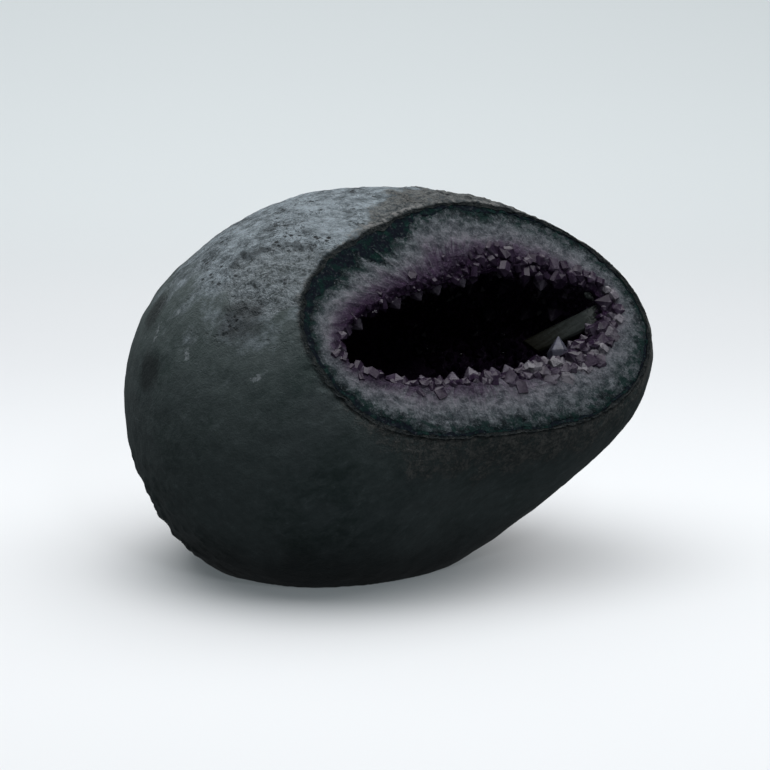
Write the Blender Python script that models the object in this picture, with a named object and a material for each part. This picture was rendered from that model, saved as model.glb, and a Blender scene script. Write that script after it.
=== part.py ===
"""A geode half: an egg-shaped amethyst nodule that stands on a ground foot, with a window cut across one shoulder.

From the outside in, the nodule is a dark rind, a thin green celadonite skin, a band of pale quartz, and a bed of
amethyst round the hollow.  Hexagonal points, one clear point and two calcite crystals are rooted in the bed.
The window plane cuts through all the layers, and the hollow opens through a long slot in it.

The row frame is in metres, +Z up, with its origin under the middle of the stone, on the surface it stands on.
-Y is the front, and the window looks to the front, up and to +X.
"""

import math
import random

import bmesh
import bpy
from mathutils import Euler, Matrix, Vector, noise

# The nodule as it grew: an egg, thicker towards -X, that leans up towards +X.
EGG_AXES = Vector((0.145, 0.119, 0.110))
EGG_TAPER = -0.18
EGG_TURN = Euler((0.0, math.radians(-11.3), math.radians(3.3)), "XYZ").to_matrix()
# Dents in the egg, as (azimuth, elevation, depth as a share of the reach, width), angles in degrees.
DENTS = (
    (33, -29, 0.150, 29),
    (-91, 38, 0.040, 19),
    (-19, 65, 0.067, 26),
)
# The flat under the +X end, which runs from the window down to the foot.
UNDERSIDE_AZIMUTH = math.radians(75.5)
UNDERSIDE_ELEVATION = math.radians(-49.7)
UNDERSIDE_DISTANCE = 0.1045
UNDERSIDE_EDGE = 18.0  # how sharply the flat meets the rest
MIDDLE = Vector((0.0007, 0.00095, 0.0943))  # the middle of the egg, above the ground foot

# The window: azimuth runs from the front (-Y) towards +X.
WINDOW_AZIMUTH = math.radians(31.4)
WINDOW_ELEVATION = math.radians(36.2)
WINDOW_DISTANCE = 0.0818

# The layers, as thicknesses along a line from the middle of the egg.
RIND = 0.0028
SKIN = 0.0014
QUARTZ_SHARE = 0.50  # the quartz band's share of what lies between the skin and the hollow
WALL = 0.0400  # from the outside to the hollow, away from the window
GAP = 0.0003  # between pieces that touch

# The slot through which the hollow opens: an ellipsoid that lies across the window.
SLOT_AXES = Vector((0.0865, 0.029, 0.070))
SLOT_SHIFT = Vector((0.0105, -0.007, 0.060))
SLOT_TILT = math.radians(4.0)
BLEND = 14.0  # how sharply the hollow and the slot meet
# A nook in the roof of the slot, as a place in the window plane, a depth and a width in degrees.
NOOK_AT = Vector((0.036, 0.030))
NOOK_DEPTH = 0.013
NOOK_WIDTH = math.radians(13.0)
LUMP_SIZE = 0.022  # across a lump of the druse
LUMP_HEIGHT = 0.0022

# Amethyst points round the mouth: the angle round the window in degrees, then radius and stand in millimetres.
MOUTH_POINTS = (
    (17, 4.5, 8.0),
    (33, 5.0, 8.5),
    (47, 4.5, 8.0),
    (60, 4.2, 7.5),
    (92, 4.0, 6.5),
    (124, 4.2, 6.5),
    (150, 4.2, 7.0),
    (172, 4.5, 7.5),
    (190, 4.0, 8.0),
    (202, 4.8, 9.0),
    (216, 4.5, 8.0),
    (230, 3.8, 7.0),
    (254, 5.5, 10.0),
    (277, 6.2, 12.0),
    (293, 4.2, 8.0),
    (305, 4.0, 8.0),
    (316, 3.8, 7.0),
    (341, 5.0, 9.0),
    (350, 4.2, 7.5),
)
# More points on the back wall: the angle in degrees and the depth behind the window in millimetres.
BACK_POINTS = ((9, 38), (15, 54), (27, 38), (38, 62), (24, 76))
BACK_RADIUS = 0.0052
BACK_STAND = 0.0100
ROOT = 0.0045  # how deep a point is rooted in the bed

# Three crystals that stand apart, as root and tip across, up and out of the window's middle.
CLEAR_ENDS = Vector((0.0590, -0.0345, 0.0690)), Vector((0.0640, -0.0136, 0.0718))
CLEAR_RADIUS = 0.0062
CLEAR_PYRAMID = 0.0100
STUB_ENDS = Vector((0.1000, 0.0050, 0.0700)), Vector((0.0905, 0.0090, 0.0725))
STUB_RADIUS = 0.0022
BLADE_ENDS = Vector((0.0990, -0.0030, 0.0690)), Vector((0.0570, -0.0110, 0.0510))
BLADE_WIDTH = 0.0108
BLADE_THICKNESS = 0.0060

# Squares along one edge of the cube that each round form starts from.
FINE, COARSE = 16, 9
BLOCK = 0.6  # a cutting block is larger than the stone


def direction_at(azimuth, elevation):
    """A unit vector, from an azimuth counted from -Y towards +X and an elevation."""
    return Vector(
        (
            math.sin(azimuth) * math.cos(elevation),
            -math.cos(azimuth) * math.cos(elevation),
            math.sin(elevation),
        )
    )


OUTWARD = direction_at(WINDOW_AZIMUTH, WINDOW_ELEVATION)
ACROSS = Vector((math.cos(WINDOW_AZIMUTH), math.sin(WINDOW_AZIMUTH), 0.0))
UPWARD = OUTWARD.cross(ACROSS)
WINDOW_TURN = Matrix((ACROSS, UPWARD, OUTWARD)).transposed()
SLOT_TURN = WINDOW_TURN @ Matrix.Rotation(SLOT_TILT, 3, "Z")
NOOK = WINDOW_TURN @ Vector((NOOK_AT.x, NOOK_AT.y, WINDOW_DISTANCE))
UNDERSIDE = direction_at(UNDERSIDE_AZIMUTH, UNDERSIDE_ELEVATION)


# ---- how far each surface reaches from the middle of the egg, in a given direction


def ellipsoid_reach(direction, centre, axes):
    """Where a ray from the origin leaves an ellipsoid that holds the origin, in the ellipsoid's own axes."""
    d = Vector((direction.x / axes.x, direction.y / axes.y, direction.z / axes.z))
    c = Vector((centre.x / axes.x, centre.y / axes.y, centre.z / axes.z))
    half_b = d.dot(c)
    return (half_b + math.sqrt(half_b**2 - d.dot(d) * (c.dot(c) - 1.0))) / d.dot(d)


def egg_point(direction):
    """A tapered, turned ellipsoid with a few shallow dents."""
    section = 1.0 + EGG_TAPER * direction.x
    point = Vector(
        (
            EGG_AXES.x * direction.x,
            EGG_AXES.y * direction.y * section,
            EGG_AXES.z * direction.z * section,
        )
    )
    point = EGG_TURN @ point
    share = 1.0
    for azimuth, elevation, depth, width in DENTS:
        dent = direction_at(math.radians(azimuth), math.radians(elevation))
        share -= depth * math.exp(-((point.angle(dent) / math.radians(width)) ** 2))
    return point * share


def grown_reach(direction):
    """How far the grown surface is in a direction: the seed is turned until its point lies that way."""
    seed = EGG_TURN.transposed() @ direction
    for _ in range(12):
        point = egg_point(seed)
        error = direction - point.normalized()
        seed = (seed + EGG_TURN.transposed() @ error).normalized()
    reach = egg_point(seed).length
    facing = direction.dot(UNDERSIDE)
    if facing > 0.0:
        flat = (facing / UNDERSIDE_DISTANCE) ** UNDERSIDE_EDGE
        reach = (reach**-UNDERSIDE_EDGE + flat) ** (-1.0 / UNDERSIDE_EDGE)
    return reach


def outer_reach(direction):
    """The stone's outside, ground flat at the foot."""
    reach = grown_reach(direction)
    if direction.z < 0.0:
        reach = min(reach, MIDDLE.z / -direction.z)
    return reach


def rind_reach(direction):
    return outer_reach(direction) - RIND


def skin_reach(direction):
    return rind_reach(direction) - GAP - SKIN


def hollow_reach(direction):
    """The hollow: a chamber that follows the outside, joined to the slot, with druse lumps on its wall."""
    chamber = outer_reach(direction) - WALL
    slot = ellipsoid_reach(SLOT_TURN.transposed() @ direction, SLOT_SHIFT, SLOT_AXES)
    reach = (chamber**BLEND + slot**BLEND) ** (1.0 / BLEND)
    reach += NOOK_DEPTH * math.exp(-((direction.angle(NOOK) / NOOK_WIDTH) ** 2))
    return reach + LUMP_HEIGHT * noise.noise(direction * (reach / LUMP_SIZE))


def quartz_reach(direction):
    """The inner face of the quartz band, part of the way from the skin to the hollow."""
    outside = skin_reach(direction)
    return outside + QUARTZ_SHARE * (hollow_reach(direction) - outside)


def inset(reach, depth):
    """The same surface, this much nearer to the middle."""
    return lambda direction: reach(direction) - depth


# ---- making pieces


def material(name, colour, roughness):
    made = bpy.data.materials.new(name)
    made.use_nodes = True
    shader = made.node_tree.nodes["Principled BSDF"]
    shader.inputs["Base Color"].default_value = (*colour, 1.0)
    shader.inputs["Roughness"].default_value = roughness
    return made


def collection(name):
    made = bpy.data.collections.new(name)
    bpy.context.scene.collection.children.link(made)
    return made


def add_object(name, bm, group, finish=None):
    mesh = bpy.data.meshes.new(name)
    bm.to_mesh(mesh)
    bm.free()
    made = bpy.data.objects.new(name, mesh)
    group.objects.link(made)
    if finish:
        mesh.materials.append(finish)
    return made


def round_form(name, reach, squares, group, finish=None):
    """A closed form round the middle of the egg: a subdivided cube whose points go out to the given reach."""
    bm = bmesh.new()
    bmesh.ops.create_cube(bm, size=2.0)
    bmesh.ops.subdivide_edges(bm, edges=bm.edges, cuts=squares - 1, use_grid_fill=True)
    for vert in bm.verts:
        even = Vector(math.tan(side * math.pi / 4.0) for side in vert.co)
        direction = even.normalized()
        vert.co = MIDDLE + direction * reach(direction)
    bmesh.ops.triangulate(bm, faces=bm.faces, quad_method="FIXED")
    made = add_object(name, bm, group, finish)
    made.data.shade_smooth()
    return made


def block(name, centre, turn, group):
    """A large cutting block."""
    bm = bmesh.new()
    bmesh.ops.create_cube(bm, size=BLOCK)
    bmesh.ops.transform(bm, matrix=Matrix.Translation(centre) @ turn.to_4x4(), verts=bm.verts)
    return add_object(name, bm, group)


def layer(name, outside, inside, squares, finish, groups, blocks, seats=None):
    """One shell of the nodule, from which its own group of cutters takes the inside, the window and the rest."""
    parts, cutters = groups
    piece = round_form(name, outside, squares[0], parts, finish)
    own = bpy.data.collections.new(name + "_cutters")
    cutters.children.link(own)
    round_form(name + "_hollow", inside, squares[1], own)
    for cutter in blocks:
        own.objects.link(cutter)
    if seats:
        own.children.link(seats)
    cut = piece.modifiers.new("cut", "BOOLEAN")
    cut.operation = "DIFFERENCE"
    cut.solver = "EXACT"
    cut.operand_type = "COLLECTION"
    cut.collection = own


def crystal_mesh(radius, length, pyramid, lean=0.0):
    """A six-sided prism along +Z with a pyramid on top; its root is at the origin."""
    bm = bmesh.new()
    shaft = length - pyramid
    bmesh.ops.create_cone(bm, cap_ends=True, segments=6, radius1=radius * 0.92, radius2=radius, depth=shaft)
    bmesh.ops.translate(bm, vec=Vector((0.0, 0.0, shaft / 2.0)), verts=bm.verts)
    top = max(bm.faces, key=lambda face: face.calc_center_median().z)
    peak = bmesh.ops.poke(bm, faces=[top])["verts"][0]
    peak.co += Vector((lean * radius, 0.0, pyramid))
    return bm


def blade_mesh(length):
    """A flat calcite blade along +Z with a slanting chisel end; its root is at the origin."""
    bm = bmesh.new()
    bmesh.ops.create_cube(bm, size=1.0)
    for vert in bm.verts:
        taper = 0.90 if vert.co.z > 0.0 else 1.0
        vert.co.x *= BLADE_WIDTH * taper
        vert.co.y *= BLADE_THICKNESS * taper
        vert.co.z = (vert.co.z + 0.5) * length
        if vert.co.z > 0.0 and vert.co.x > 0.0:
            vert.co.z -= length * 0.10
    long_edges = [edge for edge in bm.edges if abs(edge.verts[0].co.z - edge.verts[1].co.z) > length / 2.0]
    bmesh.ops.bevel(
        bm, geom=long_edges, offset=0.0012, affect="EDGES", segments=1, profile=0.5, material=-1
    )
    return bm


def stand(bm, root, axis, facing):
    """Moves a crystal's mesh so that it grows from root along axis, with its +Y side facing as asked."""
    along = axis.normalized()
    side = facing.cross(along).normalized()
    turn = Matrix((side, along.cross(side), along)).transposed()
    bmesh.ops.transform(bm, matrix=Matrix.Translation(root) @ turn.to_4x4(), verts=bm.verts)


def add_crystal(name, bm, parts, seats, finish):
    """Adds a crystal, and a copy grown by the gap that cuts the crystal's seat in the bed."""
    grown = bm.copy()
    bmesh.ops.recalc_face_normals(grown, faces=grown.faces)
    for vert in grown.verts:
        vert.co += vert.normal * GAP * 1.6
    add_object(name + "_seat", grown, seats)
    add_object(name, bm, parts, finish)


def wall_direction(angle, depth):
    """The direction in which the hollow's wall is this deep behind the window, at an angle round the window."""
    outwards = WINDOW_TURN @ Vector((math.cos(angle), math.sin(angle), 0.0))
    low, high = 0.0, math.pi * 0.75
    for _ in range(24):
        tilt = (low + high) / 2.0
        direction = OUTWARD * math.cos(tilt) + outwards * math.sin(tilt)
        if hollow_reach(direction) * math.cos(tilt) > WINDOW_DISTANCE - depth:
            low = tilt
        else:
            high = tilt
    return direction


def wall_normal(direction):
    """The unit vector that points from the hollow's wall into the hollow."""
    side = direction.orthogonal().normalized() * 0.02
    other = direction.cross(side)
    around = [(direction + step).normalized() for step in (side, other, -side, -other)]
    points = [d * hollow_reach(d) for d in around]
    normal = (points[2] - points[0]).cross(points[3] - points[1]).normalized()
    return normal if normal.dot(direction) < 0.0 else -normal


def make_points(parts, seats, finish):
    """The larger amethyst points: a ragged row round the mouth, and a few on the back wall."""
    rng = random.Random(7)
    places = []
    for angle, radius, height in MOUTH_POINTS:
        depth = radius / 1000 + rng.uniform(0.004, 0.006)
        places.append((math.radians(angle), depth, radius / 1000, height / 1000))
    for angle, depth in BACK_POINTS:
        places.append((math.radians(angle), depth / 1000, BACK_RADIUS, BACK_STAND))
    for number, (angle, depth, radius, height) in enumerate(places, 1):
        direction = wall_direction(angle, depth)
        axis = wall_normal(direction)
        if number <= len(MOUTH_POINTS):
            axis -= OUTWARD * (axis.dot(OUTWARD) - 0.05)  # these grow across the mouth
        lean = Vector((rng.uniform(-0.1, 0.1), rng.uniform(-0.1, 0.1), rng.uniform(-0.1, 0.1)))
        axis = (axis.normalized() + lean).normalized()
        bm = crystal_mesh(radius, ROOT + height, radius * 1.15, rng.uniform(-0.2, 0.2))
        root = MIDDLE + direction * hollow_reach(direction) - axis * ROOT
        stand(bm, root, axis, OUTWARD + lean * 4.0)
        add_crystal(f"amethyst_point_{number:02d}", bm, parts, seats, finish)


def make_lone_crystals(parts, seats, clear, calcite):
    """The clear point at the foot of the mouth's +X end, and the calcite blade and stub beside it."""
    roots_and_tips = []
    for ends in (CLEAR_ENDS, STUB_ENDS, BLADE_ENDS):
        roots_and_tips.append([MIDDLE + WINDOW_TURN @ end for end in ends])
    (clear_root, clear_tip), (stub_root, stub_tip), (blade_root, blade_tip) = roots_and_tips

    bm = crystal_mesh(CLEAR_RADIUS, (clear_tip - clear_root).length, CLEAR_PYRAMID, -0.15)
    stand(bm, clear_root, clear_tip - clear_root, OUTWARD)
    add_crystal("clear_point", bm, parts, seats, clear)

    bm = crystal_mesh(STUB_RADIUS, (stub_tip - stub_root).length, STUB_RADIUS)
    stand(bm, stub_root, stub_tip - stub_root, OUTWARD)
    add_crystal("calcite_stub", bm, parts, seats, calcite)

    bm = blade_mesh((blade_tip - blade_root).length)
    stand(bm, blade_root, blade_tip - blade_root, OUTWARD)
    add_crystal("calcite_blade", bm, parts, seats, calcite)


def main():
    for old in list(bpy.data.objects):
        bpy.data.objects.remove(old)
    parts, cutters = collection("geode_half"), collection("cutters")
    groups = parts, cutters

    rock = material("rind", (0.045, 0.052, 0.055), 0.75)
    green = material("celadonite", (0.03, 0.07, 0.06), 0.8)
    pale = material("quartz", (0.45, 0.45, 0.48), 0.35)
    violet = material("amethyst", (0.16, 0.09, 0.2), 0.2)
    clear = material("clear_quartz", (0.55, 0.55, 0.62), 0.1)
    calcite = material("calcite", (0.36, 0.40, 0.36), 0.35)

    window = block("window_block", MIDDLE + OUTWARD * (WINDOW_DISTANCE + BLOCK / 2), WINDOW_TURN, cutters)
    floor = block("floor_block", Vector((0.0, 0.0, -BLOCK / 2)), Matrix.Identity(3), cutters)

    seats = bpy.data.collections.new("crystal_seats")
    make_points(parts, seats, violet)
    make_lone_crystals(parts, seats, clear, calcite)

    layer("rind", grown_reach, rind_reach, (FINE, COARSE), rock, groups, (window, floor))
    layer("celadonite_skin", inset(rind_reach, GAP), skin_reach, (COARSE, COARSE), green, groups, (window,))
    layer("quartz_band", inset(skin_reach, GAP), quartz_reach, (COARSE, COARSE), pale, groups, (window,), seats)
    layer("amethyst_bed", inset(quartz_reach, GAP), hollow_reach, (COARSE, FINE), violet, groups, (window,), seats)

    for cutter in cutters.all_objects:
        cutter.hide_render = True
        cutter.display_type = "WIRE"


main()
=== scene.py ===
"""The looks of a standing amethyst geode with a window cut across one shoulder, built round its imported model."""

import math
import random

import bmesh
import bpy
import numpy as np
from mathutils import Euler, Matrix, Vector, noise


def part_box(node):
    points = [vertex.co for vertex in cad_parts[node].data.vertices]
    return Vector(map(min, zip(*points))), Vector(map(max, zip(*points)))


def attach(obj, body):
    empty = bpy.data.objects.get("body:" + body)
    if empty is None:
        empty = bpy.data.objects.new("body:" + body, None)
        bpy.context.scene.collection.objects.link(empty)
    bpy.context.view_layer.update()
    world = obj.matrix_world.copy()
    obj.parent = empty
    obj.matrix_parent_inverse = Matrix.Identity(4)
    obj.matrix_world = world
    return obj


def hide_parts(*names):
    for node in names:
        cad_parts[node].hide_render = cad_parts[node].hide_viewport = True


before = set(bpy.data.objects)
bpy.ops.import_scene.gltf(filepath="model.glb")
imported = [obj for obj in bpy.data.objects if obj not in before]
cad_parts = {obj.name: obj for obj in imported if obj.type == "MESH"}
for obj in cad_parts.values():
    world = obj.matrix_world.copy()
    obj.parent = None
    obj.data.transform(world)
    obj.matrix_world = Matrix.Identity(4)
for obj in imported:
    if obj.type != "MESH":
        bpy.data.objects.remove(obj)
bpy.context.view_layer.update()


# ---- The rind
# The outside of the nodule: weathered basalt that is trowelled over with dark cement and left bare in places.
# It is ground flat at the foot, and the saw that opened the window cut through it and all the layers in it.

EGG_AXES = np.array((0.145, 0.119, 0.110))
EGG_TAPER = -0.18  # of its width and height, towards its narrow end
EGG_TURN = np.array(Euler((0.0, math.radians(-11.3), math.radians(3.3)), "XYZ").to_matrix())
# Shallow dents, as azimuth, elevation, depth as a share of the reach, and width in degrees.
DENTS = ((33, -29, 0.150, 29), (-91, 38, 0.040, 19), (-19, 65, 0.067, 26))
UNDERSIDE_DISTANCE = 0.1045  # from the middle to the flat that slopes up from the foot
UNDERSIDE_EDGE = 18.0  # the greater, the sharper that flat's edge
MIDDLE = np.array((0.0007, 0.00095, 0.0943))  # of the egg, and where every reach is measured from
WINDOW_DISTANCE = 0.0818  # from the middle to the saw's plane
WIDEST_TILT = 1.35  # radians, beyond anything that the window cuts
SEED_ROUNDS, TILT_ROUNDS = 12, 26  # until a reach, and a tilt, is exact enough
RIND_SQUARES = 132  # along one edge of the cube that the outside starts from
RIND_RINGS = 12  # rows of faces on the rind's hidden side
LAST_RING_TILT = 0.985 * math.pi  # where they end, just short of the far pole
SAWN_ROWS = 3  # rows of faces over the rind's cut edge
RIND_THICKNESS, RIND_LEAST = 0.0017, 0.0008  # at the window, on average and at least
RIND_THICKENING = 0.0022  # more than that, away from the window
USUAL_REACH = 0.11  # for noise that must not depend on the surface it shapes


def direction_at(azimuth, elevation):
    """A unit vector from degrees; azimuth runs from the front (-Y) towards +X."""
    azimuth, elevation = math.radians(azimuth), math.radians(elevation)
    level = math.cos(elevation)
    return np.array((math.sin(azimuth) * level, -math.cos(azimuth) * level, math.sin(elevation)))


UNDERSIDE = direction_at(75.5, -49.7)
OUTWARD = direction_at(31.4, 36.2)
ACROSS = direction_at(121.4, 0.0)
UPWARD = np.cross(OUTWARD, ACROSS)


def unit(rows):
    return rows / np.linalg.norm(rows, axis=-1, keepdims=True)


def nearness(lines, azimuth, elevation, width):
    """1 in one direction, fading out over this many degrees round it."""
    angle = np.degrees(np.arccos(np.clip(lines @ direction_at(azimuth, elevation), -1.0, 1.0)))
    return np.exp(-((angle / width) ** 2))


def smooth(x):
    """0 below 0, 1 above 1, and a smooth step between."""
    x = np.clip(x, 0.0, 1.0)
    return x * x * (3.0 - 2.0 * x)


def lumps(points, size, octaves=1, seed=0.0):
    """Smooth noise from about -1 to 1, with lumps this many metres across."""
    places = (points / size + seed).tolist()
    return np.array([noise.fractal(place, 1.0, 2.0, octaves) for place in places])


def egg_points(lines):
    """The grown egg: a tapered, turned ellipsoid with a few shallow dents."""
    points = lines * EGG_AXES
    points[:, 1:] *= 1.0 + EGG_TAPER * lines[:, :1]
    points = points @ EGG_TURN.T
    share = np.ones(len(points))
    for azimuth, elevation, depth, width in DENTS:
        share -= depth * nearness(unit(points), azimuth, elevation, width)
    return points * share[:, None]


def grown_reach(lines):
    """How far the grown surface is from the middle of the egg along each line."""
    seeds = lines @ EGG_TURN
    for _ in range(SEED_ROUNDS):
        seeds = unit(seeds + (lines - unit(egg_points(seeds))) @ EGG_TURN)
    reach = np.linalg.norm(egg_points(seeds), axis=1)
    facing = np.maximum(lines @ UNDERSIDE, 0.0)
    flat = (facing / UNDERSIDE_DISTANCE) ** UNDERSIDE_EDGE
    return (reach**-UNDERSIDE_EDGE + flat) ** (-1.0 / UNDERSIDE_EDGE)


def grounded(lines, reach):
    """The same reach, ground off at the foot."""
    down = np.maximum(-lines[:, 2], 1e-6)
    return np.minimum(reach, MIDDLE[2] / down)


def window_angles(lines):
    """The angle round the window's axis, from ACROSS towards UPWARD, and the tilt away from the axis."""
    return np.arctan2(lines @ UPWARD, lines @ ACROSS), np.arccos(np.clip(lines @ OUTWARD, -1.0, 1.0))


def window_lines(around, tilt):
    sideways = np.cos(around)[:, None] * ACROSS + np.sin(around)[:, None] * UPWARD
    return np.cos(tilt)[:, None] * OUTWARD + np.sin(tilt)[:, None] * sideways


ROUND = np.linspace(-math.pi, math.pi, 721)


def window_tilts(reach):
    """The tilt at which the window cuts a surface, for each angle in ROUND."""
    low, high = np.zeros(len(ROUND)), np.full(len(ROUND), WIDEST_TILT)
    for _ in range(TILT_ROUNDS):
        tilt = (low + high) / 2.0
        inside = reach(window_lines(ROUND, tilt)) * np.cos(tilt) > WINDOW_DISTANCE
        low, high = np.where(inside, tilt, low), np.where(inside, high, tilt)
    return low


def along_window(around, table):
    """A value at each angle round the window, from a table of degrees and values."""
    degrees, values = zip(*table)
    return np.interp(np.degrees(around) % 360.0, degrees, values)


RIM_TILTS = window_tilts(grown_reach)
# How wide the bare basalt shows outside the window's rim, in metres, by degrees round the window.
BARE_WIDTH = (
    (0, 0.006), (20, 0.016), (45, 0.034), (75, 0.032), (98, 0.018), (118, 0.003), (135, -0.004), (205, -0.004),
    (222, 0.006), (240, 0.020), (275, 0.024), (310, 0.018), (335, 0.008), (360, 0.006),
)
# Pale knocks in the cement, as azimuth and elevation in degrees, and size in metres.
CHALK_MARKS = (
    (-32, 11, 0.0018), (-31.2, 11.8, 0.0013), (-51, 13, 0.0014), (-51.6, 14, 0.0013), (-52.1, 15, 0.0012),
    (-66, 15, 0.0015), (-66.6, 16.5, 0.0014), (-67, 18, 0.0012), (-61, 22, 0.0014),
)
# How strongly a raised lip of rubble shows along the rim, painted pale as a highlight, by degrees round the window.
LIP_SPREAD = ((0, 0.0), (40, 0.2), (60, 1.0), (118, 1.0), (150, 0.3), (180, 0.0), (360, 0.0))
# Places as azimuth, elevation and width in degrees; the nubs have a strength too.
STAINS = ((-75, 20, 7), (-64, 8, 6), (-40, 24, 8))
NUBS = ((-66, -26, 17, 1.0), (120, -20, 30, 0.5), (200, 5, 30, 0.4))
SPALL_PLACE, SPALL_RADIUS, SPALL_EDGE = (-38, 37), 12.5, 1.6  # all in degrees
# Where the painted shadow along the spall's upper side lies, and how wide its edge is, in degrees.
LEDGE_SHADOW_PLACE, LEDGE_SHADOW_EDGE = (-47, 45, 11), 1.3  # the dark step along the spall's upper side
PALE_START, PALE_FADE = 17.0, 27.0  # degrees of elevation
BARE_FADE = 0.020
CHIP_WIDTH, CHIP_DEPTH = 0.0042, 0.0030
LIP_PLACE, LIP_WIDTH = 0.0022, 0.0016  # below the rim


def weathering(lines):
    """The height of the weathered surface above the grown one, and its regions by name, along each line."""
    points = lines * grown_reach(lines)[:, None]
    around, tilt = window_angles(lines)
    below_rim = (tilt - np.interp(around, ROUND, RIM_TILTS)) * np.linalg.norm(points, axis=1)
    broad, middling, fine = lumps(points, 0.030, 3), lumps(points, 0.012, 2, 7.3), lumps(points, 0.0042, 2, 3.1)
    elevation = np.degrees(np.arcsin(np.clip(lines[:, 2], -1.0, 1.0)))

    bare = smooth(0.7 - (below_rim - along_window(around, BARE_WIDTH) * (1.0 + 0.55 * middling)) / BARE_FADE)
    bare *= 1.0 - 0.35 * smooth((-elevation + 12.0) / 10.0)
    # Paler towards the top: dust on the cement, and partly painted light from above.
    pale = smooth((elevation - PALE_START - 12.0 * broad - 7.0 * middling) / PALE_FADE)
    spall_angle = np.degrees(np.arccos(np.clip(lines @ direction_at(*SPALL_PLACE), -1.0, 1.0)))
    inside_spall = SPALL_RADIUS - spall_angle - 3.2 * middling
    spall = smooth(inside_spall / SPALL_EDGE)
    # A painted shadow along the spall's upper side, where its step would lie in shade under the light from above.
    ledge_shadow = np.exp(-((inside_spall / LEDGE_SHADOW_EDGE) ** 2)) * nearness(lines, *LEDGE_SHADOW_PLACE)
    nubs = sum(strength * nearness(lines, *place) for *place, strength in NUBS)
    pitted = smooth((lumps(points, 0.020, 2, 11.0) + 0.20) / 0.40) * pale

    chips = np.exp(-((below_rim / CHIP_WIDTH) ** 2)) * np.maximum(0.5 * middling + 0.9 * fine - 0.05, 0.0)
    height = 0.0007 * broad + 0.0003 * middling - CHIP_DEPTH * chips
    height += pale * (0.0007 * lumps(points, 0.018, 3, 21.0) + 0.0003 * fine)
    height += bare * (0.0007 * fine + 0.0004 * middling)
    height += spall * (0.0009 * fine - 0.0014)
    height += pitted * 0.00025 * fine
    height += nubs * 0.0028 * np.maximum(lumps(points, 0.0075, 2, 5.0) - 0.12, 0.0)
    lip = np.exp(-(((below_rim - LIP_PLACE) / LIP_WIDTH) ** 2)) * along_window(around, LIP_SPREAD)
    height += lip * (0.0008 + 0.0005 * middling)
    sawn = smooth((0.0010 - below_rim) / 0.0012)
    stain = sum(nearness(lines, *place) for place in STAINS)
    regions = dict(
        bare=bare, pale=pale, spall=spall, pitted=pitted, lip=lip, sawn=sawn, stain=stain, ledge_shadow=ledge_shadow
    )
    return height, regions


def rind_reach(lines):
    """The rind's hidden side, which is also where the celadonite starts."""
    points = lines * USUAL_REACH
    thickness = RIND_THICKNESS + 0.0009 * lumps(points, 0.014, 2, 2.0) + 0.0007 * lumps(points, 0.0045, 2, 6.0)
    around, tilt = window_angles(lines)
    thickness += RIND_THICKENING * smooth((tilt - np.interp(around, ROUND, RIM_TILTS) - 0.03) / 0.10)
    return grounded(lines, grown_reach(lines)) - np.maximum(thickness, RIND_LEAST)


def set_points(bm_verts, points):
    for vert, point in zip(bm_verts, points.tolist()):
        vert.co = point


def lines_of(points):
    return unit(points - MIDDLE)


def points_of(elements):
    return np.array([element.co for element in elements])


def add_piece(name, bm, finish, smooth_faces=True):
    """Makes a finished bmesh into an object in its place."""
    mesh = bpy.data.meshes.new(name)
    bm.to_mesh(mesh)
    bm.free()
    mesh.materials.append(finish)
    mesh.polygons.foreach_set("use_smooth", [smooth_faces] * len(mesh.polygons))
    piece = bpy.data.objects.new(name, mesh)
    bpy.context.scene.collection.objects.link(piece)
    return piece


def add_attribute(piece, name, values):
    """Stores one number, or one row of three, for each point of a piece."""
    values = np.asarray(values, np.float32)
    kind, field = ("FLOAT", "value") if values.ndim == 1 else ("FLOAT_VECTOR", "vector")
    piece.data.attributes.new(name, kind, "POINT").data.foreach_set(field, values.ravel())


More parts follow.
